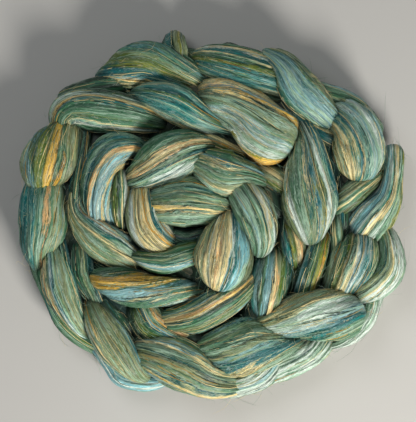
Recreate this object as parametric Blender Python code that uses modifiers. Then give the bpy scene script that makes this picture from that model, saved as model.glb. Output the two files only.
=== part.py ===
"""A length of combed wool roving, chain-plaited and coiled in a flat spiral.

Metres, +Z up, resting flat on z = 0, centred on x = y = 0.
The plait shows as plump lobes that lap over each other. Each lobe is a sphere
that is bent along its own centre line, and all of them grow together into the
one solid of the coil.
"""

import math

import bmesh
import bpy
import numpy as np

MM = 0.001
NAME = "roving_braid"

COIL_LONG = 272.0  # across the coil in x, mm
COIL_DEEP = 257.0  # across the coil in y, mm
ROUND = 14  # points round a lobe
ALONG = 18  # points along a lobe
VOXEL = 2.6  # size of the grid that the lobes grow together in, mm
TRIANGLES = 8800  # triangles kept in the solid
SINK = 2.2  # how far the coil's weight presses its back flat, mm

# Where each lobe lies: the four points of its centre line in plan, its full
# width and thickness, the height of its centre line at the start, the middle and
# the end, and how pointed each end is (0.4 blunt, 0.8 a fine tip). All mm.
LOBE_COLUMNS = (
    "name", "x0", "y0", "x1", "y1", "x2", "y2", "x3", "y3",
    "wide", "thick", "z0", "zm", "z3", "tip0", "tip1",
)
LOBES = (
    ("nub", -27, 126, -27, 119, -26, 112, -26, 102, 20, 24, 16, 24, 26, 0.45, 0.6),
    ("top_back", -79, 88, -58, 103, -29, 108, 9, 90, 28, 28, 22, 31, 27, 0.5, 0.65),
    ("top_middle", -17, 108, 8, 104, 29, 95, 52, 80, 38, 30, 24, 30, 24, 0.5, 0.55),
    ("top_right", 34, 113, 52, 98, 69, 78, 90, 52, 32, 32, 30, 35, 26, 0.5, 0.6),
    ("arch", -114, 65, -91, 78, -62, 73, -27, 63, 30, 32, 24, 36, 33, 0.5, 0.65),
    ("teal_top", -58, 86, -36, 82, -10, 71, 18, 58, 29, 30, 28, 33, 28, 0.5, 0.75),
    ("gold_top", -10, 86, 19, 77, 41, 61, 59, 42, 38, 34, 32, 38, 34, 0.65, 0.4),
    ("sky_arc", 79, 79, 97, 65, 102, 44, 92, 20, 33, 34, 28, 35, 31, 0.45, 0.55),
    ("green_edge", 128, 54, 126, 30, 117, 8, 96, -9, 29, 30, 24, 27, 27, 0.55, 0.42),
    ("edge_inner", 120, 36, 107, 23, 94, 14, 82, 3, 21, 26, 24, 29, 24, 0.6, 0.6),
    ("fan", 110, -12, 102, -26, 92, -40, 79, -58, 27, 30, 28, 33, 28, 0.45, 0.55),
    ("fan_rim", 111, -11, 122, -23, 120, -41, 94, -55, 24, 30, 26, 30, 28, 0.5, 0.6),
    ("fan_inner", 85, -12, 87, -26, 83, -38, 74, -52, 18, 26, 26, 27, 24, 0.6, 0.6),
    ("blue_right", 29, -79, 59, -69, 86, -67, 113, -68, 35, 34, 32, 37, 33, 0.6, 0.4),
    ("rim_right", 110, -48, 112, -65, 96, -79, 69, -87, 17, 26, 22, 20, 22, 0.5, 0.7),
    ("hump", -9, -100, 18, -91, 41, -91, 65, -91, 38, 32, 28, 34, 29, 0.6, 0.5),
    ("rim_bottom", 13, -112, 40, -110, 63, -100, 88, -89, 20, 26, 24, 22, 22, 0.6, 0.6),
    ("bottom", -57, -91, -31, -96, -8, -112, 29, -118, 35, 34, 30, 34, 28, 0.45, 0.65),
    ("bottom_left", -89, -59, -79, -79, -64, -97, -41, -115, 29, 32, 28, 34, 30, 0.45, 0.6),
    ("rim_left", -83, -90, -67, -109, -50, -116, -27, -113, 15, 24, 22, 19, 22, 0.5, 0.6),
    ("left_low", -116, -17, -109, -38, -101, -58, -85, -79, 26, 32, 28, 32, 28, 0.5, 0.6),
    ("rim_left_low", -120, -45, -111, -70, -97, -84, -75, -94, 15, 24, 22, 19, 22, 0.6, 0.6),
    ("left", -105, 23, -116, 7, -121, -12, -119, -37, 30, 32, 30, 33, 26, 0.45, 0.6),
    ("left_high", -99, 70, -108, 49, -116, 32, -126, 11, 40, 32, 28, 31, 26, 0.45, 0.5),
    ("crescent", -55, 50, -75, 39, -77, 15, -64, -9, 26, 32, 34, 38, 34, 0.5, 0.6),
    ("crescent_in", -66, 40, -57, 22, -57, 2, -61, -17, 20, 26, 30, 33, 28, 0.6, 0.6),
    ("dark_long", -92, 67, -94, 44, -94, 21, -90, -5, 25, 28, 26, 30, 26, 0.5, 0.5),
    ("gold_left", -99, 16, -87, -7, -69, -23, -43, -35, 29, 32, 30, 35, 30, 0.5, 0.55),
    ("ochre", -85, -38, -58, -49, -34, -58, -1, -55, 28, 34, 33, 38, 35, 0.4, 0.7),
    ("tan_low", -31, -76, -5, -68, 15, -56, 27, -38, 27, 32, 29, 34, 32, 0.6, 0.6),
    ("dark_low", -71, -61, -51, -71, -31, -79, -10, -84, 24, 28, 26, 29, 28, 0.5, 0.55),
    ("dark_left", -93, -13, -90, -30, -85, -45, -74, -62, 25, 28, 26, 28, 26, 0.5, 0.6),
    ("peach_mid", 41, -17, 38, -35, 31, -52, 22, -70, 32, 32, 29, 33, 29, 0.55, 0.5),
    ("teal_mid", 44, -2, 50, -16, 57, -30, 62, -48, 22, 28, 28, 30, 26, 0.5, 0.6),
    ("tan_right", 86, -3, 80, -23, 69, -40, 55, -58, 24, 30, 28, 32, 28, 0.6, 0.55),
    ("big_inner", 55, 75, 65, 47, 69, 14, 64, -27, 39, 36, 31, 39, 35, 0.9, 0.5),
    ("inner_top", -59, 21, -44, 37, -24, 44, -1, 47, 29, 34, 36, 42, 38, 0.45, 0.6),
    ("inner_peak", -18, 39, 4, 33, 20, 30, 38, 25, 32, 34, 36, 43, 38, 0.6, 0.55),
    ("inner_right", 15, 19, 29, 11, 34, -7, 29, -33, 31, 36, 38, 44, 36, 0.5, 0.65),
    ("inner_bottom", 13, 2, 10, -14, 4, -31, -6, -52, 36, 38, 40, 46, 41, 0.5, 0.5),
    ("inner_low", -55, -27, -38, -33, -23, -33, -5, -26, 25, 32, 36, 39, 36, 0.5, 0.6),
    ("inner_curl", -41, 22, -52, 7, -48, -13, -27, -19, 24, 32, 38, 40, 36, 0.55, 0.55),
    ("heart", -43, 7, -26, 11, -10, 10, 9, 4, 31, 34, 36, 42, 37, 0.55, 0.55),
    ("peep_top", -10, 51, -1, 50, 9, 49, 20, 47, 17, 24, 26, 30, 26, 0.6, 0.6),
    ("peep_right", 30, 26, 38, 23, 47, 21, 55, 18, 18, 24, 26, 30, 26, 0.6, 0.6),
    ("peep_left", -106, -9, -105, -19, -104, -28, -103, -38, 15, 24, 22, 26, 22, 0.6, 0.6),
)

# The back of the plait, which lies on the table: rings of lobes that slant
# across the ring, one way on its outer side and the other way on its inner side.
BACK_COLUMNS = ("name", "radius", "count", "length", "slant", "wide", "thick", "height", "turn")
BACK = (
    ("back_outer", 105, 19, 60, 34, 33, 30, 15.5, 0),
    ("back_ring", 78, 14, 60, -34, 33, 32, 15.5, 8),
    ("back_inner", 46, 9, 52, 34, 32, 32, 16, 4),
    ("back_heart", 14, 3, 46, 20, 32, 32, 16, 30),
    ("core_outer", 92, 15, 60, 12, 40, 26, 26, 5),
    ("core_inner", 38, 7, 52, 12, 42, 28, 29, 20),
    ("core_heart", 7, 2, 46, 10, 46, 30, 22, 60),
)


def rows_of(columns, table):
    return [dict(zip(columns, row)) for row in table]


def through_four(t, p0, p1, p2, p3):
    """The cubic through four points, which it meets at t = 0, 1/3, 2/3 and 1."""
    a, b, c, d = t, t - 1 / 3, t - 2 / 3, t - 1
    return (
        -4.5 * b * c * d * p0
        + 13.5 * a * c * d * p1
        - 13.5 * a * b * d * p2
        + 4.5 * a * b * c * p3
    )


def through_three(t, z0, zm, z3):
    return z0 * (1 - t) * (1 - 2 * t) + zm * 4 * t * (1 - t) + z3 * t * (2 * t - 1)


def centre_line(lobe, t):
    return np.array(
        [
            through_four(t, lobe["x0"], lobe["x1"], lobe["x2"], lobe["x3"]),
            through_four(t, lobe["y0"], lobe["y1"], lobe["y2"], lobe["y3"]),
            through_three(t, lobe["z0"], lobe["zm"], lobe["z3"]),
        ]
    )


def fullness(lobe, t):
    """The lobe's girth at t, from 0 at its ends to 1 in the middle."""
    tip = lobe["tip0"] * (1 - t) + lobe["tip1"] * t
    return math.sin(math.pi * t) ** tip


def bend(point, lobe):
    """Moves a point of the unit sphere to its place on the lobe."""
    x, y, z = point
    around = math.hypot(x, y)
    t = math.acos(max(-1.0, min(1.0, -z))) / math.pi
    here = centre_line(lobe, t)
    ahead = centre_line(lobe, min(t + 0.01, 1.0)) - centre_line(lobe, max(t - 0.01, 0.0))
    ahead /= np.linalg.norm(ahead)
    side = np.cross((0.0, 0.0, 1.0), ahead)
    side /= np.linalg.norm(side)
    up = np.cross(ahead, side)
    if around < 1e-6:
        return here
    girth = fullness(lobe, t)
    half_wide = lobe["wide"] / 2 * girth
    half_thick = lobe["thick"] / 2 * girth**0.7
    return here + side * (half_wide * x / around) + up * (half_thick * y / around)


def add_lobe(mesh, lobe):
    made = bmesh.ops.create_uvsphere(mesh, u_segments=ROUND, v_segments=ALONG, radius=1.0)
    for vertex in made["verts"]:
        vertex.co = bend(vertex.co, lobe)


def back_lobes():
    """The lobes of the coil's back, one row for each."""
    lobes = []
    for ring in rows_of(BACK_COLUMNS, BACK):
        for index in range(ring["count"]):
            angle = math.radians(ring["turn"]) + 2 * math.pi * index / ring["count"]
            lobe = dict(wide=ring["wide"], thick=ring["thick"], tip0=0.55, tip1=0.55)
            lobe["z0"] = lobe["z3"] = ring["height"] - 1.5
            lobe["zm"] = ring["height"]
            for part, step in enumerate((-0.5, -1 / 6, 1 / 6, 0.5)):
                along = step * ring["length"] * math.cos(math.radians(ring["slant"]))
                across = step * ring["length"] * math.sin(math.radians(ring["slant"]))
                reach = ring["radius"] + across
                here = angle + along / max(ring["radius"], 20.0)
                lobe["x%d" % part] = reach * math.cos(here) * COIL_LONG / 264
                lobe["y%d" % part] = reach * math.sin(here) * COIL_DEEP / 264
            lobes.append(lobe)
    return lobes


def clear_scene():
    for thing in list(bpy.data.objects):
        bpy.data.objects.remove(thing, do_unlink=True)


def wool_material():
    wool = bpy.data.materials.new("wool")
    wool.use_nodes = True
    shader = wool.node_tree.nodes["Principled BSDF"]
    shader.inputs["Base Color"].default_value = (0.28, 0.37, 0.28, 1)
    shader.inputs["Roughness"].default_value = 0.75
    shader.inputs["Metallic"].default_value = 0.0
    wool.diffuse_color = (0.28, 0.37, 0.28, 1)
    return wool


def applied(thing):
    """Keeps the shape that the object's modifiers make, as its own mesh."""
    graph = bpy.context.evaluated_depsgraph_get()
    shape = bpy.data.meshes.new_from_object(thing.evaluated_get(graph))
    thing.modifiers.clear()
    thing.data = shape


def flatten_back(thing, level):
    """Cuts the coil level where its weight presses it flat, and closes it there."""
    mesh = bmesh.new()
    mesh.from_mesh(thing.data)
    everything = mesh.verts[:] + mesh.edges[:] + mesh.faces[:]
    bmesh.ops.bisect_plane(
        mesh, geom=everything, dist=1e-6, plane_co=(0, 0, level), plane_no=(0, 0, 1),
        clear_inner=True,
    )
    rim = [edge for edge in mesh.edges if len(edge.link_faces) == 1]
    bmesh.ops.triangle_fill(mesh, use_beauty=True, use_dissolve=False, edges=rim, normal=(0, 0, -1))
    bmesh.ops.triangulate(mesh, faces=mesh.faces[:])
    bmesh.ops.recalc_face_normals(mesh, faces=mesh.faces[:])
    mesh.to_mesh(thing.data)
    mesh.free()


def build():
    clear_scene()
    mesh = bmesh.new()
    for lobe in rows_of(LOBE_COLUMNS, LOBES) + back_lobes():
        add_lobe(mesh, lobe)
    for vertex in mesh.verts:
        vertex.co *= MM
    shape = bpy.data.meshes.new(NAME)
    mesh.to_mesh(shape)
    mesh.free()

    coil = bpy.data.objects.new(NAME, shape)
    folder = bpy.data.collections.new("coiled_roving_braid")
    bpy.context.scene.collection.children.link(folder)
    folder.objects.link(coil)

    grow = coil.modifiers.new("grow", "REMESH")
    grow.mode = "VOXEL"
    grow.voxel_size = VOXEL * MM
    smooth = coil.modifiers.new("smooth", "SMOOTH")
    smooth.factor = 0.5
    smooth.iterations = 3
    applied(coil)
    return coil


def finish(coil):
    count = len(coil.data.polygons) * 2
    thin = coil.modifiers.new("thin", "DECIMATE")
    thin.ratio = TRIANGLES / count
    thin.use_collapse_triangulate = True
    applied(coil)
    low = min(vertex.co.z for vertex in coil.data.vertices)
    flatten_back(coil, low + SINK * MM)
    xs = [vertex.co.x for vertex in coil.data.vertices]
    ys = [vertex.co.y for vertex in coil.data.vertices]
    shift = np.array([(min(xs) + max(xs)) / 2, (min(ys) + max(ys)) / 2, low + SINK * MM])
    for vertex in coil.data.vertices:
        vertex.co = np.array(vertex.co) - shift
    coil.data.materials.clear()
    coil.data.materials.append(wool_material())


def main():
    finish(build())


main()
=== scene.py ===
"""Visual model of a chain-plaited length of combed wool roving, coiled in a flat spiral.

Every fold of the plait is one plump lobe of combed fibre. A lobe is a grid of points round
a bent centre line, raised in long ridges along its fibres and coloured by its own order of
stripes. Loose fibres lie on the lobes and stand off them as thin closed strands.
"""

import math

import bpy
import numpy as np
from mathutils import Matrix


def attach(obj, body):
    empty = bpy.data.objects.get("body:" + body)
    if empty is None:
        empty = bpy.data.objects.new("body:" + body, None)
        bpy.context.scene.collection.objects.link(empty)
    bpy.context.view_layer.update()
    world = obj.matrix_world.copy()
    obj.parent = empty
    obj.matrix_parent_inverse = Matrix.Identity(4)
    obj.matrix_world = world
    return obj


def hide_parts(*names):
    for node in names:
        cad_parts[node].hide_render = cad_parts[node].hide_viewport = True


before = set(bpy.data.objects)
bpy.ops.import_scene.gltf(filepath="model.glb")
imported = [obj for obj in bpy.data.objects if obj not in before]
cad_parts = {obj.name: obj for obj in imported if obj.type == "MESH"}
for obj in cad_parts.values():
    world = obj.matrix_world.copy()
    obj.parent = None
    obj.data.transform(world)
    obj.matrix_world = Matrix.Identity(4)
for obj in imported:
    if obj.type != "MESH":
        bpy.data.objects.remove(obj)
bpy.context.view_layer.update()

MM = 0.001
PIXEL = 0.7  # mm on the object for one pixel of the picture
SHIFT = np.array([2.284, -0.024, 1.922])  # from the lobe table's zero to the frame's, mm
ROUND, ALONG = 88, 54  # points round and along a lobe that shows
BACK_ROUND, BACK_ALONG = 44, 28
CORE_ROUND, CORE_ALONG = 28, 18
COIL_LONG, COIL_DEEP = 272.0, 257.0

# The folds that show, in mm: how thick each is, the height of its middle line at its start,
# middle and end, how far each end turns down and how far it runs on under its neighbours,
# and then its left and right edge in plan at five even stations from its start to its end.
LOBE_COLUMNS = (
    "name", "thick", "z0", "zm", "z3", "dive0", "dive1", "reach0", "reach1",
    "left0_x", "left0_y", "right0_x", "right0_y", "left1_x", "left1_y", "right1_x", "right1_y",
    "left2_x", "left2_y", "right2_x", "right2_y", "left3_x", "left3_y", "right3_x", "right3_y",
    "left4_x", "left4_y", "right4_x", "right4_y",
)
LOBES = (
    ("nub", 24, 16, 24, 26, 8, 8, 0, 6,
     -20, 124, -32, 124, -18, 119, -36, 119, -16, 113, -36, 113, -16, 107, -36, 107, -19, 100, -33, 100),
    ("top_back", 28, 22, 31, 27, 8, 8, 3, 6,
     -78, 100, -80, 92, -64, 115, -61, 87, -43, 122, -43, 90, -20, 112, -23, 89, -1, 100, -8, 89),
    ("top_middle", 30, 24, 30, 24, 8, 8, 9, 9,
     -12, 116, -9, 105, 1, 120, -1, 95, 15, 119, 18, 85, 30, 113, 34, 78, 47, 103, 52, 72),
    ("top_right", 32, 30, 35, 26, 8, 8, 0, 4,
     40, 115, 34, 110, 56, 112, 44, 98, 71, 98, 48, 79, 82, 84, 64, 65, 90, 68, 80, 57),
    ("arch", 32, 24, 35, 27, 8, 8, 4, 4,
     -114, 65, -93, 64, -108, 84, -90, 67, -83, 89, -80, 59, -57, 82, -57, 57, -32, 68, -34, 59),
    ("teal_top", 30, 30, 37, 32, 8, 8, 2, 4,
     -55, 88, -55, 82, -38, 94, -44, 73, -20, 91, -31, 65, -5, 77, -13, 58, 12, 65, 8, 56),
    ("gold_top", 34, 32, 38, 36, 8, 3, 9, 0,
     -9, 91, -7, 82, 8, 96, 2, 70, 29, 88, 16, 58, 45, 77, 29, 38, 54, 63, 52, 25),
    ("sky_arc", 34, 28, 35, 33, 8, 3, 9, 0,
     94, 84, 90, 65, 108, 77, 88, 51, 118, 58, 85, 42, 118, 46, 85, 33, 107, 29, 90, 22),
    ("green_edge", 30, 24, 27, 27, 8, 8, 0, 0,
     136, 47, 117, 48, 134, 30, 118, 30, 132, 9, 112, 16, 125, -9, 99, 8, 113, -19, 92, -6),
    ("edge_inner", 26, 24, 29, 24, 8, 8, 9, 9,
     117, 25, 111, 39, 111, 16, 104, 32, 104, 8, 96, 25, 97, 1, 89, 19, 92, -5, 83, 12),
    ("fan", 30, 28, 33, 28, 8, 8, 3, 4,
     113, -17, 93, -19, 118, -27, 86, -26, 115, -38, 80, -35, 106, -47, 76, -45, 93, -56, 74, -56),
    ("fan_rim", 30, 26, 30, 28, 8, 8, 9, 9,
     125, -9, 113, -12, 132, -23, 115, -24, 134, -37, 112, -38, 124, -51, 102, -43, 104, -58, 90, -48),
    ("fan_inner", 26, 26, 27, 24, 8, 8, 9, 9,
     89, 1, 82, -0, 92, -9, 80, -10, 92, -19, 81, -21, 88, -28, 80, -33, 85, -38, 76, -44),
    ("blue_right", 34, 32, 37, 35, 6, 4, 4, 0,
     35, -70, 35, -79, 50, -58, 50, -84, 69, -51, 69, -87, 89, -52, 88, -87, 104, -58, 101, -79),
    ("rim_right", 26, 22, 20, 22, 8, 8, 9, 9,
     122, -51, 107, -52, 118, -63, 104, -63, 114, -75, 99, -72, 104, -86, 92, -80, 90, -92, 83, -84),
    ("hump", 32, 28, 34, 29, 8, 8, 2, 6,
     -8, -86, -6, -94, 5, -75, 6, -108, 23, -72, 26, -112, 42, -81, 46, -104, 63, -85, 66, -91),
    ("rim_bottom", 26, 24, 22, 22, 8, 8, 9, 9,
     26, -101, 31, -121, 38, -96, 50, -116, 51, -91, 65, -109, 58, -86, 79, -100, 62, -77, 89, -86),
    ("bottom", 34, 30, 34, 28, 8, 8, 4, 9,
     -52, -86, -51, -103, -36, -81, -37, -113, -18, -88, -20, -123, -2, -102, -5, -128, 15, -110, 18, -126),
    ("bottom_left", 32, 28, 34, 30, 8, 8, 2, 0,
     -85, -61, -90, -63, -70, -73, -90, -76, -57, -87, -82, -90, -48, -101, -68, -103, -43, -107, -52, -112),
    ("rim_left", 24, 22, 19, 22, 8, 8, 4, 0,
     -79, -91, -88, -94, -69, -103, -78, -106, -58, -110, -69, -119, -46, -111, -51, -124, -33, -110, -31, -119),
    ("left_low", 32, 28, 32, 28, 8, 8, 2, 3,
     -108, -19, -117, -21, -100, -35, -120, -37, -94, -51, -118, -52, -90, -65, -108, -70, -88, -79, -94, -84),
    ("rim_left_low", 24, 22, 19, 22, 8, 8, 9, 9,
     -118, -26, -132, -27, -114, -41, -127, -41, -111, -58, -120, -56, -100, -75, -111, -76, -80, -86, -90, -94),
    ("left", 32, 26, 33, 26, 8, 8, 6, 3,
     -100, 22, -131, 14, -102, 8, -135, 4, -103, -7, -135, -10, -111, -20, -134, -25, -120, -35, -127, -38),
    ("left_high", 32, 28, 31, 32, 8, 2, 9, 2,
     -90, 64, -111, 64, -90, 53, -121, 53, -92, 43, -131, 43, -102, 30, -136, 30, -118, 21, -128, 16),
    ("crescent", 32, 35, 38, 34, 3, 8, 8, 6,
     -50, 42, -52, 52, -60, 35, -75, 56, -69, 22, -87, 40, -71, 7, -88, 19, -64, -7, -79, -2),
    ("crescent_in", 28, 30, 35, 31, 8, 8, 9, 9,
     -62, 35, -66, 33, -58, 24, -71, 23, -57, 15, -72, 14, -59, 4, -71, 3, -60, -7, -66, -6),
    ("dark_long", 28, 26, 30, 26, 8, 8, 9, 9,
     -82, 68, -93, 68, -85, 51, -93, 51, -86, 35, -97, 35, -88, 18, -101, 18, -88, -5, -103, -0),
    ("gold_left", 32, 30, 35, 30, 8, 8, 9, 0,
     -88, 22, -100, 21, -90, 5, -100, -3, -74, -4, -90, -24, -59, -14, -76, -34, -48, -28, -54, -38),
    ("ochre", 34, 35, 38, 30, 2, 8, 2, 9,
     -80, -35, -80, -46, -64, -36, -69, -59, -46, -40, -48, -64, -27, -44, -28, -63, -8, -48, -10, -58),
    ("tan_low", 32, 33, 37, 32, 8, 8, 2, 9,
     -37, -62, -27, -77, -18, -61, -8, -81, -1, -51, 9, -73, 14, -42, 23, -61, 26, -30, 31, -41),
    ("dark_low", 28, 26, 29, 28, 8, 8, 9, 9,
     -44, -59, -64, -61, -36, -65, -61, -72, -29, -72, -54, -82, -20, -77, -38, -86, -9, -82, -16, -86),
    ("dark_left", 28, 26, 28, 26, 8, 8, 9, 9,
     -88, -20, -100, -20, -82, -33, -101, -33, -80, -44, -99, -44, -76, -54, -90, -54, -71, -61, -79, -61),
    ("peach_mid", 32, 29, 33, 29, 8, 8, 0, 0,
     44, -23, 37, -23, 54, -37, 27, -31, 55, -48, 24, -45, 50, -58, 24, -57, 40, -68, 29, -69),
    ("teal_mid", 28, 28, 30, 26, 8, 8, 9, 9,
     54, 1, 46, -2, 61, -12, 43, -13, 66, -21, 44, -21, 65, -29, 49, -30, 59, -37, 55, -38),
    ("tan_right", 30, 28, 32, 28, 8, 8, 9, 9,
     84, -10, 76, -12, 82, -24, 66, -23, 79, -35, 61, -33, 76, -44, 56, -42, 71, -55, 54, -54),
    ("big_inner", 36, 31, 39, 38, 8, 3, 9, 0,
     63, 72, 55, 67, 76, 51, 57, 47, 83, 30, 50, 26, 86, 7, 48, 5, 74, -21, 62, -20),
    ("inner_top", 34, 36, 42, 38, 8, 8, 9, 9,
     -57, 30, -55, 18, -49, 42, -41, 18, -37, 56, -25, 23, -20, 60, -13, 32, -1, 54, -4, 42),
    ("inner_peak", 34, 36, 43, 38, 8, 8, 4, 2,
     -12, 42, -16, 33, 0, 47, -6, 23, 14, 45, 5, 12, 27, 37, 20, 20, 36, 29, 31, 22),
    ("inner_right", 36, 38, 44, 40, 8, 3, 6, 0,
     27, 20, 10, 12, 37, 16, 13, 2, 43, 4, 18, -9, 43, -9, 22, -18, 34, -24, 24, -26),
    ("inner_bottom", 38, 40, 46, 46, 8, 2, 9, 0,
     16, 1, 6, -0, 24, -14, -7, -13, 27, -27, -13, -27, 22, -40, -13, -38, 8, -49, -6, -49),
    ("inner_low", 32, 36, 39, 36, 8, 8, 0, 9,
     -52, -19, -50, -26, -45, -23, -44, -37, -33, -23, -33, -40, -20, -17, -20, -36, -8, -13, -10, -27),
    ("inner_curl", 32, 38, 40, 36, 8, 8, 6, 0,
     -43, 18, -56, 16, -38, 7, -60, 5, -34, -2, -59, -11, -28, -8, -49, -22, -24, -16, -29, -24),
    ("heart", 34, 36, 42, 37, 8, 8, 6, 6,
     -44, 19, -39, -2, -31, 25, -31, -7, -18, 28, -18, -8, -4, 22, -5, -7, 10, 12, 7, -2),
    ("peep_top", 24, 29, 33, 29, 8, 8, 9, 9,
     -6, 59, -8, 51, 1, 58, -1, 47, 9, 54, 6, 44, 16, 48, 15, 40, 24, 39, 21, 33),
    ("peep_right", 24, 29, 34, 29, 8, 8, 9, 9,
     34, 39, 31, 28, 42, 36, 37, 22, 48, 31, 43, 16, 52, 25, 48, 12, 56, 18, 52, 9),
    ("peep_left", 24, 24, 28, 24, 8, 8, 9, 0,
     -103, -16, -111, -17, -101, -24, -108, -26, -99, -34, -106, -35, -96, -44, -102, -45, -92, -54, -96, -55),
    ("peep_edge", 26, 22, 25, 22, 4, 4, 9, 9,
     69, 98, 65, 84, 83, 92, 78, 78, 94, 88, 89, 74, 105, 82, 97, 68, 114, 72, 106, 63),
    ("peep_arch", 26, 22, 26, 24, 4, 4, 0, 9,
     -107, 88, -103, 78, -97, 93, -93, 81, -86, 96, -83, 82, -75, 98, -72, 84, -64, 98, -61, 86),
    ("peep_teal", 24, 28, 28, 24, 4, 4, 9, 9,
     54, 82, 47, 77, 62, 76, 54, 66, 72, 68, 64, 57, 82, 63, 76, 48, 90, 60, 87, 43),
    ("peep_heart", 24, 30, 33, 32, 4, 4, 9, 9,
     -33, -6, -31, -16, -24, -7, -23, -20, -18, -9, -16, -23, -10, -7, -9, -20, -5, -3, -4, -14),
    ("shade_right", 22, 22, 24, 22, 4, 4, 9, 9,
     93, 28, 82, 28, 96, 18, 82, 18, 97, 7, 82, 7, 97, -5, 83, -5, 94, -16, 85, -16),
    ("rim_tuft", 26, 24, 26, 24, 8, 8, 0, 4,
     5, -112, 10, -129, 18, -110, 24, -126, 27, -105, 38, -121, 31, -100, 47, -113, 34, -94, 51, -104),
    ("shade_low", 24, 24, 25, 24, 4, 4, 9, 9,
     -76, -58, -85, -59, -67, -63, -80, -68, -60, -70, -74, -76, -56, -79, -65, -83, -54, -89, -59, -90),
)

# The folds on the back of the plait.
BACK_COLUMNS = ("name", "radius", "count", "length", "slant", "wide", "thick", "height", "turn")
BACK = (
    ("back_outer", 102.5, 19, 60, 34, 33, 30, 15.5, 0),
    ("back_ring", 78, 14, 60, -34, 33, 32, 15.5, 8),
    ("back_inner", 46, 9, 52, 34, 32, 32, 16, 4),
    ("back_heart", 14, 3, 46, 20, 32, 32, 16, 30),
    ("core_outer", 90, 15, 60, 12, 40, 24, 21, 5),
    ("core_inner", 38, 7, 52, 12, 42, 26, 24, 20),
    ("core_heart", 7, 2, 46, 10, 46, 26, 18, 60),
)

# The dyed shades of the fibre, as red, green and blue from 0 to 255; the palest of them also paint highlights in some
# stripes.
SHADES = {
    "g": (58, 112, 78),  # mid green
    "s": (100, 144, 110),  # sage
    "S": (158, 192, 164),  # pale sage
    "d": (18, 54, 34),  # dark green
    "D": (6, 32, 30),  # darkest green
    "t": (8, 116, 114),  # teal
    "a": (76, 144, 136),  # pale teal
    "T": (0, 98, 106),  # deep teal-blue
    "b": (132, 176, 180),  # grey-blue
    "B": (138, 200, 208),  # sky blue
    "w": (222, 236, 224),  # mint white
    "o": (94, 116, 36),  # olive
    "O": (150, 148, 46),  # olive-gold
    "y": (218, 162, 52),  # ochre gold
    "Y": (250, 200, 78),  # bright gold
    "c": (248, 226, 162),  # cream
    "p": (244, 192, 128),  # peach
    "k": (144, 156, 112),  # tan-grey
    "n": (134, 122, 72),  # tan-brown
}
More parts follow.
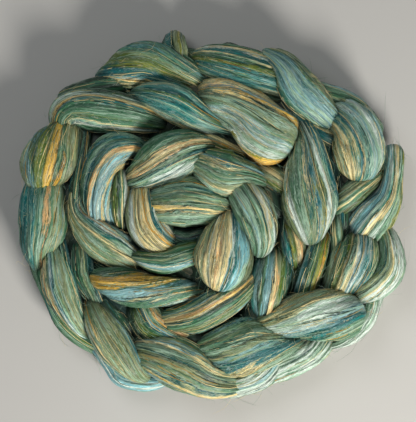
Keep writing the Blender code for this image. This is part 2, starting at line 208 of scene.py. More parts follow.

# The order of the stripes on each lobe, from the left of its own direction to the right:
# a letter for the shade and a digit for how wide. drift is how far the stripes wander
# across the lobe on the way along it. Some of the palest stripes (w, S and B) lie where
# highlights fell, so they are partly the fibre's own pale shades and partly painted highlight.
STRIPE_COLUMNS = ("name", "drift", "stripes")
STRIPES = (
    ("nub", 0.0, "o3 k3 O2 k2 d2 T3 t3 d2"),
    ("top_back", -1.0, "s4 g2 S1 g2 s2 t1 s2 a2 T1 s2 t1 s2 k1 o5 O1 g2 T3 t1 b1 y1 c2 n1 s2 g4 d5"),
    ("top_middle", 0.0, "s1 g1 k1 c2 w1 t5 T1 c2 k1 g3 o2 O1 g2 t2 a2 s2 T1 a3 s1 k1 d1 s2 d1 c1 d2 T2 t1 d2"),
    ("top_right", 0.1, "o2 s1 k2 c1 s1 k2 o1 s1 T1 b2 S1 b2 S1 T1 b2 S2 b3 S2 b2 t1 b2 s1 t1 g3 d1 T2 d1"),
    # painted light: the white stripes near the left edge brighten the top side, which faces away from the key lamp
    ("arch", 0.0, "d1 g1 S1 w2 S2 w1 k1 c2 y1 T2 t1 g3 s2 g2 S1 g1 s2 o1 g3 s1 c1 S2 T1 w3 s1 g1 d1"),
    ("teal_top", 0.1, "b1 k1 s3 t1 a3 S1 a3 t1 T2 g2 o1 g1 a2 t2 S2 a3 t2 a2 S2 t1 w1 S2 c2 s1 g1 d1"),
    ("gold_top", 0.5, "d1 g2 o2 k2 c1 y1 c4 p1 b2 Y2 c1 t1 k2 S2 k2 s2 S1 b1 w1 k1 S1 b1 w1 k1 S2 w2 O2 Y2 y2 d2"),
    # partly painted highlight: the white and pale sage stripes on its outer (left) side
    ("sky_arc", 0.15, "c1 w3 S2 b1 w2 S2 b2 S1 w1 b1 S1 t1 S1 T1 c1 d1 T2 t1 k1 c2 n1 c2 k3 c2 O2 k1 o1"),
    # painted light: the white and sky-blue stripes on its right side brighten a side that lies in shade
    ("green_edge", 0.0, "o2 O2 S1 s1 g2 w1 S1 g1 c3 w1 c1 g1 t1 S1 w2 B3 w2 B3 w1 b1 s1 d1"),
    ("edge_inner", 0.0, "d2 D1 o1 n1 s2 c1 k1 s2 n1 k2 o1 c1 k1 s1 d2"),
    ("fan", 0.0, "k2 D1 g1 k1 t2 T2 g1 w1 t1 b1 w1 T1 b1 w1 c1 S1 d1 n1 c1 k1 o2 d1 g1 s1 k2 S1 k1 g1"),
    ("fan_rim", 0.0, "S2 w3 s1 w2 c1 k1 S1 k2 o1 s2 k1 d2"),
    ("fan_inner", 0.0, "s3 k2 S2 g2 c1 k2 s3 d2"),
    # painted light: the pale sage at its left edge brightens a side that faces away from the key lamp, and the white
    # stripes in its middle are a painted highlight
    ("blue_right", 0.9, "g1 S3 b1 S2 k2 S1 n1 c1 k2 S1 k2 c1 k2 c1 S2 w2 S1 w1 b2 S1 b1 T1 t2 d1 s2 S2 g2 s2 g2 s2"),
    ("rim_right", 0.0, "w3 S2 w1 g1 w2 s1 S2 g1 S2 d1 t1 d2"),
    ("hump", 1.0, "s3 S2 k1 s2 d1 b2 s3 k1 g1 s2 S2 d1 k2 s1 b1 d1 t1 T3 t1 c1 n1 k1 s2 S2 k1 s1 S1 w1 S3 w1 s2"),
    ("rim_bottom", 0.0, "S1 w2 s1 w3 S1 d1 w3 k1 S1 w2 d1 s1 w3 S2 g1 w3 s1 d1 w2 S1"),
    ("bottom", 0.0, "s2 k1 o1 O1 k2 b2 c2 k2 S3 k1 t1 D1 k3 n1 k2 d1 s2 k2 S1 d1 T1 k1 c2 y1 S1 b2 w1 s1"),
    ("bottom_left", 0.0, "d1 T3 b1 k2 S1 k2 n1 k2 S1 k2 g1 k2 n1 k3 S1 k2 g1 k2 c1 k2 S1 k2 c2 w1 k1 S1 g1"),
    ("rim_left", 0.0, "d1 g1 b2 B3 w1 B3 w1 B3 b1"),
    ("left_low", 0.0, "t1 s1 c1 t1 s2 k2 S2 k2 S2 k2 s1 S2 T1 b1 w1 b1 S1 d1 s1 c1 p3 c1 S1 d1"),
    ("rim_left_low", 0.0, "g3 d1 g3 o1 g3 s2 g2"),
    ("left", -0.2, "t2 g2 s2 b1 k2 s1 S2 k2 s1 g1 p2 g1 s1 S3 t1 s2 a2 t2 S1 t3 a1 t3 T1 t2 g2 d1"),
    ("left_high", 0.5, "n1 y1 k2 n1 k3 c1 k2 n1 k3 n1 k2 g1 d1 y1 Y4 O1 o4 O1 o4 T1 b2 S1 b1 k2 n1 S1 k2 s1 c1"),
    ("crescent", -0.5, "w1 B5 w1 B4 c2 Y1 b3 w1 b2 B1 b2 c1 p3 y1 T1 s1 T2 S1 g2 T2 g1 S1 T1 t1 g2 T1 g2 d2"),
    ("crescent_in", 0.0, "k1 c1 w2 g1 c1 s1 d1 o4 O1 d1"),
    ("dark_long", 0.0, "g2 d3 s1 D2 g2 s1 d3 g2"),
    ("gold_left", 0.0, "S1 D1 b1 S1 T1 p1 c1 w4 t2 s1 S1 k2 c2 k2 s1 S1 k2 O1 k2 s1 k2 S1 k2 s1 k2 g1 d1"),
    ("ochre", 1.4, "g4 s1 g4 d1 g1 o1 y2 Y3 c1 Y1 y1 o1 T1 b4 S1 c1 T1 s2 g2 S2 s1 g1 T1 w1 s2 g2 S1 t1 g2 s2 d1"),
    ("tan_low", 0.0, "d1 t1 s2 g1 s2 b1 n1 c1 k1 s1 c1 p2 Y1 c1 d1 n1 d1 g2 s2 o1 k2 D1 o2 g1 k1 s1 b1 d1"),
    ("dark_low", 0.0, "d1 s1 T1 d1 k1 s1 c1 p3 y1 c1 d1 s1 b2 T1 d1 g2 o2 d1 g1 o2 D1 g2 d2"),
    ("dark_left", 0.0, "d1 T2 t2 d1 s1 k1 g2 D1 g2 d2"),
    ("peach_mid", 0.0, "d2 g2 s2 o2 k1 p1 c1 D1 b2 B1 s2 d1 b1 t2 D2 g1"),
    ("teal_mid", 0.0, "s2 S1 k2 p2 c1 n1 o2 O1 d1 t1 b1 T1 s1 d1 y1 p1 d1"),
    ("tan_right", 0.0, "s2 k1 o1 y1 O2 o2 s1 g2 d1 T2 t1 b1 d2"),
    ("big_inner", 0.5, "g2 d1 S2 k1 s2 T4 t1 S3 w4 S1 g1 k1 O1 b1 T2 c1 T1 g1 k2 S2 g1 s2 k1 S1 w3 S1 o1 k2 o2 k1 d1"),
    ("inner_top", 0.0, "g5 s1 g4 s1 k1 g1 p1 c3 k1 p1 d2 S1 k1 s2 D1 t1 S3 g1 w4 S1 b1 c1 S2 k1"),
    ("inner_peak", 0.0, "o2 O1 k1 d1 g2 s2 t1 b2 t1 c1 s1 g1 s2 k1 S1 g1 s2 k1 S2 k2 c1 S2 w1 k2 s1"),
    ("inner_right", 0.0, "k2 n1 b1 w2 S1 c1 w1 c1 k1 d1 S2 s2 d1 S2 b1 S2 d1 s2 S2 g1 s2 k1 d1"),
    ("inner_bottom", 0.0, "k2 S2 b1 B4 b1 t2 T1 w1 c3 k1 c2 p1 n1 c2 w1 k1 c2 n1 k2 c2 k2 s1"),
    ("inner_low", 0.0, "d1 g2 o2 k1 g2 o1 D1 g2 k1 g2 s2 t1 w1 b2 s1 S1 o1 g2 d1"),
    ("inner_curl", 0.0, "s1 w2 y1 w1 T2 t1 D1 c2 y2 c1 n1 c2 k1 n1 c2 w2 k2 s1"),
    ("heart", 0.0, "d1 s2 k2 g2 S2 s2 k2 S1 s2 k1 g1 k2 s1 d1 c1 Y1 c1 d1 S1 k1 S3 s1 S3 k1 g1 d1"),
    ("peep_top", 0.0, "d1 c2 k1 y1 o2 O1 d1"),
    ("peep_right", 0.0, "o1 k1 c2 k1 n1 o2 d1"),
    ("peep_left", 0.0, "T2 d2 g1 T1 d2"),
    ("peep_edge", 0.0, "b1 S2 s2 g2 k1 d2 g2 d2"),
    ("peep_arch", 0.0, "d3 g3 d2 g2 s1 d2"),
    ("shade_low", 0.0, "d3 g2 d1 s1 g2 d2"),
    ("peep_heart", 0.1, "d2 g2 s1 D1 T1 g2 k1 d2"),
    ("shade_right", 0.0, "d3 g1 d2 T1 d2 g1 d3"),
    ("rim_tuft", 0.0, "w3 S2 g1 w2 s1 w3 b1 S1 w2 d1 w2 S1 g1"),
    ("peep_teal", 0.0, "S2 c1 g2 k1 c1 d2 T3 t2 D2 o2 D2"),
)

BACK_STRIPES = (
    "g2 d2 s3 T1 t2 g3 o2 k1 c1 s2 g3 D1 s2 b1 g2 d2",
    "d2 g3 s2 y1 c1 o2 g3 t2 T2 s2 g2 k2 s3 d1 g2",
    "g3 s2 b2 S1 t1 T1 g3 o3 O1 g2 s3 c1 p1 d2 g2 s2",
    "s2 g3 d2 g2 t3 s2 S2 k1 n1 g3 o2 s2 D1 g3 t1 g2",
)


def linear(shade):
    """The scene's linear colour of a shade."""
    parts = np.array(SHADES[shade]) / 255
    return np.where(parts <= 0.04045, parts / 12.92, ((parts + 0.055) / 1.055) ** 2.4)


def through_stations(t, values):
    """A smooth line through evenly spaced values."""
    values = np.asarray(values, float)
    last = len(values) - 1
    slope = np.empty_like(values)
    slope[1:-1] = (values[2:] - values[:-2]) / 2
    slope[0] = 2 * (values[1] - values[0]) - slope[1]
    slope[-1] = 2 * (values[-1] - values[-2]) - slope[-2]
    place = np.clip(t, 0, 1) * last
    i = np.minimum(place.astype(int), last - 1)
    u = place - i
    return (
        values[i] * (1 + 2 * u) * (1 - u) ** 2 + slope[i] * u * (1 - u) ** 2
        + values[i + 1] * u * u * (3 - 2 * u) + slope[i + 1] * u * u * (u - 1)
    )


def through_three(t, z0, zm, z3):
    return z0 * (1 - t) * (1 - 2 * t) + zm * 4 * t * (1 - t) + z3 * t * (2 * t - 1)


def edges(lobe, t):
    """The lobe's left and right edge in plan."""
    both = []
    for side in ("left", "right"):
        both.append(np.stack([through_stations(t, lobe[side + axis]) for axis in ("_x", "_y")], axis=-1))
    return both


def spine(lobe, t):
    """The middle of the lobe at t and half the way across it. Before 0 and past 1 the lobe
    goes on straight, down into the plait.
    """
    inside = np.clip(t, 0, 1)
    left, right = edges(lobe, inside)
    middle, half = (left + right) / 2, (left - right) / 2
    for end, near in ((0.0, 0.03), (1.0, 0.97)):
        here, there = (sum(edges(lobe, np.array([at]))) / 2 for at in (end, near))
        middle = middle + (here - there) / (end - near) * np.where(inside == end, t - end, 0.0)[:, None]
    height = through_three(inside, lobe["z0"], lobe["zm"], lobe["z3"])
    dive = np.where(t < 0.5, lobe["dive0"], lobe["dive1"]) * np.abs(2 * t - 1) ** 3.5
    flat = np.zeros((len(t), 1))
    return np.concatenate([middle, (height - dive)[:, None]], axis=-1), np.concatenate([half, flat], axis=-1)


def unit(vectors):
    return vectors / np.maximum(np.linalg.norm(vectors, axis=-1, keepdims=True), 1e-9)


def waves(angle, t, rng, low, high, count):
    """A smooth field that closes on itself round the lobe, about -1 to 1."""
    field = np.zeros_like(angle)
    for _ in range(count):
        turns = rng.integers(low, high + 1)
        field += np.cos(turns * angle + rng.uniform(0, 2 * math.pi) + rng.uniform(-2.6, 2.6) * t * math.pi)
    return field / math.sqrt(count / 2)


def rounded(t, start, stop, share0, share1):
    """1 along the body, with a quarter circle down to 0 over each end."""
    near = np.clip((t - start) / share0, 0, 1)
    far = np.clip((stop - t) / share1, 0, 1)
    return np.sqrt(1 - (1 - near) ** 2) * np.sqrt(1 - (1 - far) ** 2)


def surface(lobe, around, along, seed, flip=1.0):
    """The lobe's rings of points with what the material and the fibres need to know of them."""
    rng = np.random.default_rng(seed)
    whole = np.linspace(0, 1, 60)
    middle, half = spine(lobe, whole)
    wide = np.linalg.norm(half, axis=-1)
    widest = wide.max()
    length = np.linalg.norm(np.diff(middle, axis=0), axis=1).sum()
    start, stop = -lobe["reach0"] / length, 1 + lobe["reach1"] / length
    share0, share1 = (min(max(0.72 * wide[k] / length, 0.05), 0.22) for k in (0, -1))
    s = np.linspace(0.002, 0.998, along)
    t = start + (stop - start) * (s - 0.78 * np.sin(2 * math.pi * s) / (2 * math.pi))
    middle, half = spine(lobe, t)
    step = 0.01
    ahead = unit(spine(lobe, t + step)[0] - spine(lobe, t - step)[0])
    side = unit(half)
    side = unit(side - ahead * (side * ahead).sum(axis=-1, keepdims=True))
    up = unit(np.cross(ahead, side))
    cap = rounded(t, start, stop, share0, share1)
    half_wide = np.linalg.norm(half, axis=-1) * cap
    half_thick = lobe["thick"] / 2 * (np.linalg.norm(half, axis=-1) / widest) ** 0.6 * cap
    ends = spine(lobe, np.array([start, stop]))[0]
    t = (t - start) / (stop - start)
    length = length * (stop - start)
    spread = np.linspace(-1, 1, around, endpoint=False)
    angle = math.pi / 2 * flip + math.pi * (0.62 * spread + 0.38 * spread**3)
    c, sn = np.cos(angle)[None, :], np.sin(angle)[None, :]
    points = (
        middle[:, None, :]
        + side[:, None, :] * (half_wide[:, None] * c)[..., None]
        + up[:, None, :] * (half_thick[:, None] * sn)[..., None]
    )
    out = unit(
        side[:, None, :] * (c / np.maximum(half_wide[:, None], 0.5))[..., None]
        + up[:, None, :] * (sn / np.maximum(half_thick[:, None], 0.5))[..., None]
    )
    a, tt = np.broadcast_arrays(angle[None, :], t[:, None])
    slanted = a + 2.4 * lobe["drift"] * (tt - 0.5)
    fade = np.clip(np.sin(math.pi * tt) * 3.0, 0, 1)
    size = widest / 15
    swell = waves(slanted, tt, rng, 2, 4, 4)
    locks = np.abs(waves(slanted, tt, rng, 4, 9, 5)) ** 0.6
    strands = np.abs(waves(slanted, tt, rng, 12, 26, 8)) ** 0.7
    fine = waves(slanted, tt, rng, 26, 40, 9)
    raised = 0.5 * swell + 1.2 * (locks - 0.75) + 0.38 * (strands - 0.7) + 0.08 * fine
    points = points + out * (raised * fade * size)[..., None]
    points[..., 2] = np.maximum(points[..., 2], SHIFT[2])
    ends[:, 2] = np.maximum(ends[:, 2], SHIFT[2])
    return dict(
        points=points, ends=ends, angle=a, t=tt, out=out, ahead=ahead, wide=2 * widest, length=length,
        drift=lobe["drift"],
    )


def top_map(everything, cell=2.0):
    """The smoothed height of the coil's top over the plan, on a grid."""
    grid = np.zeros((170, 170))
    points = np.concatenate([made["points"].reshape(-1, 3) for made in everything])
    i = ((points[:, 0] + 170) / cell).astype(int)
    j = ((points[:, 1] + 170) / cell).astype(int)
    np.maximum.at(grid, (i, j), points[:, 2])
    reach = np.arange(-12, 13)
    bell = np.exp(-0.5 * (reach * cell / 9.0) ** 2)
    bell /= bell.sum()
    for axis in (0, 1):
        grid = sum(weight * np.roll(grid, step, axis=axis) for weight, step in zip(bell, reach))
    return grid


def hollow(points, grid, cell=2.0):
    """How deep a point lies in the creases between the lobes, 0 to 1; the material darkens the colour by it as painted
    shade.
    """
    i, j = (points[..., 0] + 170) / cell - 0.5, (points[..., 1] + 170) / cell - 0.5
    i0, j0 = np.floor(i).astype(int), np.floor(j).astype(int)
    u, v = i - i0, j - j0
    level = (
        grid[i0, j0] * (1 - u) * (1 - v) + grid[i0 + 1, j0] * u * (1 - v)
        + grid[i0, j0 + 1] * (1 - u) * v + grid[i0 + 1, j0 + 1] * u * v
    )
    deep = np.clip((level + 1.5 - points[..., 2]) / 12.0, 0, 1)
    return deep * np.clip((points[..., 2] - 8.0) / 14.0, 0, 1)


def turned_in(made):
    """How near a point lies to an end of its lobe, where the fibres turn into a crease, 0 to 0.7; the material darkens
    the colour by it as painted shade.
    """
    t = np.concatenate([made["t"].ravel(), [0.0, 1.0]])
    return 0.7 * np.clip(1 - np.minimum(t, 1 - t) * made["length"] / 6.0, 0, 1) ** 1.5


def across(angle):
    """How far across its lobe a point lies, 0 at the left edge and 1 at the right."""
    return 0.5 * (1 - np.cos(angle)) / 2 + 0.5 * np.arccos(np.cos(angle)) / math.pi


def wandered(angle, t, drift):
    """Where a point lies in the lobe's order of stripes, 0 to 1."""
    return 0.5 + (across(angle) - 0.5 + drift * (t - 0.5)) / (1 + abs(drift))


def add_mesh(name, points, faces, uv=None, vectors=None, numbers=None, material=None):
    mesh = bpy.data.meshes.new(name)
    mesh.from_pydata(np.round(points, 7).tolist(), [], faces)
    mesh.polygons.foreach_set("use_smooth", np.ones(len(mesh.polygons), bool))
    if uv is not None:
        layer = mesh.uv_layers.new(name="OFBake")
        layer.data.foreach_set("uv", np.asarray(uv, np.float32).ravel())
    for key, values in (vectors or {}).items():
        mesh.attributes.new(key, "FLOAT_VECTOR", "POINT").data.foreach_set(
            "vector", np.asarray(values, np.float32).ravel()
        )
    for key, values in (numbers or {}).items():
        mesh.attributes.new(key, "FLOAT", "POINT").data.foreach_set("value", np.asarray(values, np.float32).ravel())
    if material is not None:
        mesh.materials.append(material)
    thing = bpy.data.objects.new(name, mesh)
    bpy.context.scene.collection.objects.link(thing)
    return thing


def lobe_parts(made, seed):
    """Points, faces, corner UVs and attributes of one closed lobe."""
    drift = made["drift"]
    rings, around, _ = made["points"].shape
    points = np.concatenate([made["points"].reshape(-1, 3), made["ends"]])
    index = np.arange(rings * around).reshape(rings, around)
    right = np.roll(index, -1, axis=1)
    quads = np.stack([index[:-1], right[:-1], right[1:], index[1:]], axis=-1).reshape(-1, 4)
    first, last = rings * around, rings * around + 1
    faces = quads.tolist()
    faces += [[first, b, a] for a, b in zip(index[0], right[0])]
    faces += [[last, a, b] for a, b in zip(index[-1], right[-1])]
    faces = [[int(v) for v in f] for f in faces]
    u = np.arange(around) / around
    v = made["t"][:, 0]
    uq = np.broadcast_to(u[None, :], (rings - 1, around))
    v0 = np.broadcast_to(v[:-1, None], uq.shape)
    v1 = np.broadcast_to(v[1:, None], uq.shape)
    du = 1 / around
    corners = np.stack(
        [np.stack([uq, v0], -1), np.stack([uq + du, v0], -1), np.stack([uq + du, v1], -1), np.stack([uq, v1], -1)],
        axis=2,
    ).reshape(-1, 2)
    low = np.stack([np.stack([u + du / 2, 0 * u], -1), np.stack([u + du, 0 * u + v[0]], -1), np.stack([u, 0 * u + v[0]], -1)], 1)
    top = np.stack([np.stack([u + du / 2, 0 * u + 1], -1), np.stack([u, 0 * u + v[-1]], -1), np.stack([u + du, 0 * u + v[-1]], -1)], 1)
    uv = np.concatenate([corners, low.reshape(-1, 2), top.reshape(-1, 2)])
    reach = made["wide"] / 30
    fibre = np.stack(
        [
            (across(made["angle"]) + drift * (made["t"] - 0.5)) * math.pi * reach,
            np.minimum(np.sin(made["angle"]), 0) * reach,
            made["t"] * made["length"] / 40,
        ],
        axis=-1,
    ).reshape(-1, 3)
    fibre = np.concatenate([fibre, [[0, 0, 0]], [[0, 0, made["length"] / 40]]])
    fibre[:, 2] += seed % 61 * 3.7 - 1.5
    stripe = wandered(made["angle"], made["t"], drift).ravel()
    stripe = np.concatenate([stripe, [0.5 - drift / 2 / (1 + abs(drift)), 0.5 + drift / 2 / (1 + abs(drift))]])
    return points, faces, uv, fibre, stripe


# ---- materials ----


class Nodes:
    """Short calls for making and joining a material's nodes."""

    def __init__(self, name):
        self.material = bpy.data.materials.new(name)
        self.material.use_nodes = True
        self.tree = self.material.node_tree
        self.tree.nodes.clear()

    def add(self, kind, **settings):
        node = self.tree.nodes.new(kind)
        for key, value in settings.items():
            setattr(node, key, value)
        return node

    def put(self, socket, value):
        if isinstance(value, bpy.types.NodeSocket):
            self.tree.links.new(value, socket)
        else:
            socket.default_value = value

    def math(self, operation, a, b=None, clamp=False):
        node = self.add("ShaderNodeMath", operation=operation, use_clamp=clamp)
        self.put(node.inputs[0], a)
        if b is not None:
            self.put(node.inputs[1], b)
        return node.outputs[0]

    def stretch(self, vector, x, y, z):
        node = self.add("ShaderNodeVectorMath", operation="MULTIPLY")
        self.put(node.inputs[0], vector)
        node.inputs[1].default_value = (x, y, z)
        return node.outputs[0]

    def turn(self, vector, slope):
        """The fibre vector twisted about the lobe's own line, so that lines cross it at a slant."""
        apart = self.add("ShaderNodeSeparateXYZ")
        self.put(apart.inputs[0], vector)
        node = self.add("ShaderNodeVectorRotate", rotation_type="Z_AXIS")
        self.put(node.inputs["Vector"], vector)
        self.put(node.inputs["Angle"], self.math("MULTIPLY", apart.outputs[2], slope))
        return node.outputs[0]

    def noise(self, vector, detail=1.0, scale=1.0):
        node = self.add("ShaderNodeTexNoise", noise_dimensions="3D")
        self.put(node.inputs["Vector"], vector)
        node.inputs["Scale"].default_value = scale
        node.inputs["Detail"].default_value = detail
        node.inputs["Roughness"].default_value = 0.55
        return node.outputs["Fac"]

    def span(self, value, low, high, to_low, to_high):
        node = self.add("ShaderNodeMapRange", clamp=True)
        self.put(node.inputs["Value"], value)
        for key, number in (("From Min", low), ("From Max", high), ("To Min", to_low), ("To Max", to_high)):
            node.inputs[key].default_value = number
        return node.outputs["Result"]

    def mix(self, factor, a, b, blend="MIX"):
        node = self.add("ShaderNodeMix", data_type="RGBA", blend_type=blend)
        self.put(node.inputs["Factor"], factor)
        self.put(node.inputs[6], a)
        self.put(node.inputs[7], b)
        return node.outputs[2]


def read_stripes(text):
    """[(shade, from, to)] over 0 to 1."""
    tokens = [(token[0], float(token[1:])) for token in text.split()]
    whole = sum(width for _, width in tokens)
    place, found = 0.0, []
    for shade, width in tokens:
        found.append((shade, place / whole, (place + width) / whole))
        place += width
    return found


def stripe_ramp(nodes, text, place):
    """Colours for a place from 0 to 1; the jitter in the place mixes the edges."""
    node = nodes.add("ShaderNodeValToRGB")
    nodes.put(node.inputs["Fac"], place)
    ramp = node.color_ramp
    ramp.interpolation = "CONSTANT"
    stops = [(0.03 + 0.94 * start if start else 0.0, shade) for shade, start, _ in read_stripes(text)]
    while len(ramp.elements) < len(stops):
        ramp.elements.new(0.5)
    for element, (position, shade) in zip(ramp.elements, stops):
        element.position = position
        element.color = (*linear(shade), 1)
    return node.outputs["Color"]


def wool(name, text, wander=0.07):
    nodes = Nodes(name)
    fibre = nodes.add("ShaderNodeAttribute", attribute_name="fibre").outputs["Vector"]
    stripe = nodes.add("ShaderNodeAttribute", attribute_name="stripe").outputs["Fac"]
    # the fibres sway a little on their way along the lobe
    sway = nodes.add("ShaderNodeTexNoise", noise_dimensions="3D")
    nodes.put(sway.inputs["Vector"], nodes.stretch(fibre, 1.6, 1.6, 1.1))
    sway.inputs["Scale"].default_value = 1.0
    sway.inputs["Detail"].default_value = 1.0
    push = nodes.add("ShaderNodeVectorMath", operation="MULTIPLY_ADD")
    nodes.put(push.inputs[0], sway.outputs["Color"])
    push.inputs[1].default_value = (0.26, 0.26, 0.0)
    nodes.put(push.inputs[2], fibre)
    swayed = push.outputs[0]
    # and have a fine crimp
    crimp = nodes.add("ShaderNodeTexNoise", noise_dimensions="3D")
    nodes.put(crimp.inputs["Vector"], nodes.stretch(fibre, 2.6, 2.6, 5.0))
    crimp.inputs["Scale"].default_value = 1.0
    crimp.inputs["Detail"].default_value = 1.0
    push = nodes.add("ShaderNodeVectorMath", operation="MULTIPLY_ADD")
    nodes.put(push.inputs[0], crimp.outputs["Color"])
    push.inputs[1].default_value = (0.2, 0.2, 0.0)
    nodes.put(push.inputs[2], swayed)
    swayed = push.outputs[0]
    left, right = nodes.turn(swayed, 0.05), nodes.turn(swayed, -0.08)
    slow = nodes.noise(nodes.stretch(fibre, 2.0, 2.0, 1.0), 1.0)
    quick = nodes.noise(nodes.stretch(left, 14, 14, 0.32), 1.0)
    place = nodes.math("ADD", stripe, nodes.span(slow, 0.25, 0.75, -wander, wander))
    place = nodes.math("ADD", place, nodes.span(crimp.outputs["Fac"], 0.25, 0.75, -0.016, 0.016))
    place = nodes.math("ADD", place, nodes.span(quick, 0.25, 0.75, -0.02, 0.02))
    mingled = []
    for across, slope in ((46, 0.36), (58, 0.5)):
        mingle = nodes.noise(nodes.stretch(right, across, across, slope), 1.0)
        mingle = nodes.span(mingle, 0.25, 0.75, -0.025, 0.025)
        mingled.append(stripe_ramp(nodes, text, nodes.math("ADD", place, mingle)))
    colour = nodes.mix(0.5, *mingled)
    # green fibres are combed in everywhere
    combed = nodes.span(nodes.noise(nodes.stretch(right, 30, 30, 0.36), 1.0), 0.35, 0.65, 0.0, 0.18)
    colour = nodes.mix(combed, colour, (*linear("g"), 1))
    # single locks and fibres are a little lighter than their stripe, and dark green shows between them; these light
    # and dark lines are partly painted highlight and painted shade between the fibres
    lock = nodes.span(nodes.noise(nodes.stretch(swayed, 6, 6, 0.5), 1.0), 0.3, 0.7, 0.8, 1.2)
    line = nodes.noise(nodes.stretch(left, 22, 22, 0.36), 1.5)
    hair = nodes.span(nodes.noise(nodes.stretch(right, 60, 60, 0.9), 1.0), 0.3, 0.7, 0.76, 1.28)
    colour = nodes.mix(nodes.span(line, 0.3, 0.52, 0.45, 0.0), colour, (*linear("d"), 1))
    tone = nodes.math("MULTIPLY", nodes.math("MULTIPLY", lock, nodes.span(line, 0.45, 0.7, 0.92, 1.32)), hair)
    tint = nodes.add("ShaderNodeVectorMath", operation="SCALE")
    nodes.put(tint.inputs[0], colour)
    nodes.put(tint.inputs["Scale"], tone)
    colour = tint.outputs[0]
    # stray fibres of another shade
    stray = nodes.noise(nodes.stretch(nodes.turn(swayed, 0.14), 36, 36, 0.6), 0.0)
    colour = nodes.mix(nodes.span(stray, 0.66, 0.76, 0.0, 0.3), colour, (*linear("w"), 1))
    colour = nodes.mix(nodes.span(stray, 0.22, 0.32, 0.3, 0.0), colour, (*linear("d"), 1))
    # fine frizz: single pale fibres that cross the others at a slight slant
    frizz = 0.0
    for slope, across, slow in ((0.35, 8.0, 0.9), (-0.3, 11.0, 1.2)):
        field = nodes.noise(nodes.stretch(nodes.turn(swayed, slope), across, across, slow), 0.5)
        level = nodes.math("ABSOLUTE", nodes.math("SUBTRACT", field, 0.5))
        frizz = nodes.math("MAXIMUM", nodes.span(level, 0.0, 0.035, 1.0, 0.0), frizz)
    patchy = nodes.span(nodes.noise(nodes.stretch(fibre, 5, 5, 2.2), 1.0), 0.4, 0.62, 0.0, 1.0)
    frizz = nodes.math("MULTIPLY", frizz, patchy)
    colour = nodes.mix(nodes.math("MULTIPLY", frizz, 0.36), colour, (*linear("w"), 1))
    # painted shade: less light reaches the fibres deep between the lobes, so the colour is darkened there towards a
    # near-black green, and also near the turned-in lobe ends and on the core lobes
    crease_shade = nodes.add("ShaderNodeAttribute", attribute_name="hollow").outputs["Fac"]
    colour = nodes.mix(nodes.math("MULTIPLY", crease_shade, 0.9), colour, (0.008, 0.017, 0.013, 1))
    shader = nodes.add("ShaderNodeBsdfPrincipled")
    nodes.put(shader.inputs["Base Color"], colour)
    nodes.put(shader.inputs["Roughness"], nodes.span(line, 0.3, 0.7, 0.5, 0.36))
    shader.inputs["Specular IOR Level"].default_value = 0.45
    shader.inputs["Anisotropic"].default_value = 0.75
    across = nodes.add("ShaderNodeTangent", direction_type="UV_MAP", uv_map="OFBake")
    nodes.put(shader.inputs["Tangent"], across.outputs[0])
    shader.inputs["Sheen Weight"].default_value = 0.05
    shader.inputs["Sheen Roughness"].default_value = 0.4
    bump = nodes.add("ShaderNodeBump")
    bump.inputs["Strength"].default_value = 0.5
    bump.inputs["Distance"].default_value = 0.0006
    nodes.put(bump.inputs["Height"], nodes.math("ADD", nodes.math("MULTIPLY", hair, 0.6), nodes.math("MULTIPLY", line, 1.4)))
    nodes.put(shader.inputs["Normal"], bump.outputs["Normal"])
    output = nodes.add("ShaderNodeOutputMaterial")
    nodes.put(output.inputs["Surface"], shader.outputs[0])
    return nodes.material


def strand_wool(name, shade):
    nodes = Nodes(name)
    place = nodes.add("ShaderNodeAttribute", attribute_name="fibre").outputs["Vector"]
    tone = nodes.span(nodes.noise(nodes.stretch(place, 1, 1, 1), 1.0), 0.3, 0.7, 0.75, 1.25)
    tint = nodes.add("ShaderNodeVectorMath", operation="SCALE")
    tint.inputs[0].default_value = linear(shade)
    nodes.put(tint.inputs["Scale"], tone)
    shader = nodes.add("ShaderNodeBsdfPrincipled")
    nodes.put(shader.inputs["Base Color"], tint.outputs[0])
    shader.inputs["Roughness"].default_value = 0.5
    shader.inputs["Specular IOR Level"].default_value = 0.35
    shader.inputs["Sheen Weight"].default_value = 0.2
    output = nodes.add("ShaderNodeOutputMaterial")
    nodes.put(output.inputs["Surface"], shader.outputs[0])
    return nodes.material


# ---- loose fibres ----


def strands(paths, radii, shade_name, name):
    """Thin closed three-sided strands. paths is (n, k, 3) in mm, radii is (n,)."""
    n, k, _ = paths.shape
    tangent = unit(np.gradient(paths, axis=1))
    other = unit(np.cross(tangent, (0.31, 0.52, 0.79)))
    third = np.cross(tangent, other)
    profile = np.sin(np.linspace(0, math.pi, k)) ** 0.4
    ring = []
    for side in range(3):
        a = 2 * math.pi * side / 3
        ring.append(other * math.cos(a) + third * math.sin(a))
    ring = np.stack(ring, axis=2)[:, 1:-1]  # n, k-2, 3, 3
    wide = (radii[:, None] * profile[None, 1:-1])[..., None, None]
    rings = paths[:, 1:-1, None, :] + ring * wide
    m = k - 2
    body = rings.reshape(n, m * 3, 3)
    points = np.concatenate([body, paths[:, :1], paths[:, -1:]], axis=1)
    size = m * 3 + 2
    one = []
    for part in range(m - 1):
        for side in range(3):
            a, b = part * 3 + side, part * 3 + (side + 1) % 3
            one.append((a, b, b + 3))
            one.append((a, b + 3, a + 3))
    for side in range(3):
        one.append((m * 3, (side + 1) % 3, side))
        one.append((m * 3 + 1, (m - 1) * 3 + side, (m - 1) * 3 + (side + 1) % 3))
    one = np.array(one)
    faces = (one[None] + (np.arange(n) * size)[:, None, None]).reshape(-1, 3)
    flat = points.reshape(-1, 3)
    along = np.concatenate([np.repeat(np.linspace(0, 1, k)[1:-1], 3), [0, 1]])
    which = np.repeat(np.arange(n) / max(n, 1), size)
    along = np.tile(along, n)
    uv_point = np.stack([0.02 + 0.96 * which, 0.02 + 0.96 * along], -1)
    uv = uv_point[faces.ravel()]
    fibre = np.stack([which * 997.0, which * 131.0, along * 2.0], -1)
    return add_mesh(
        name, (flat - SHIFT) * MM, faces.tolist(), uv=uv, vectors={"fibre": fibre},
        material=strand_wool(name, shade_name),
    )


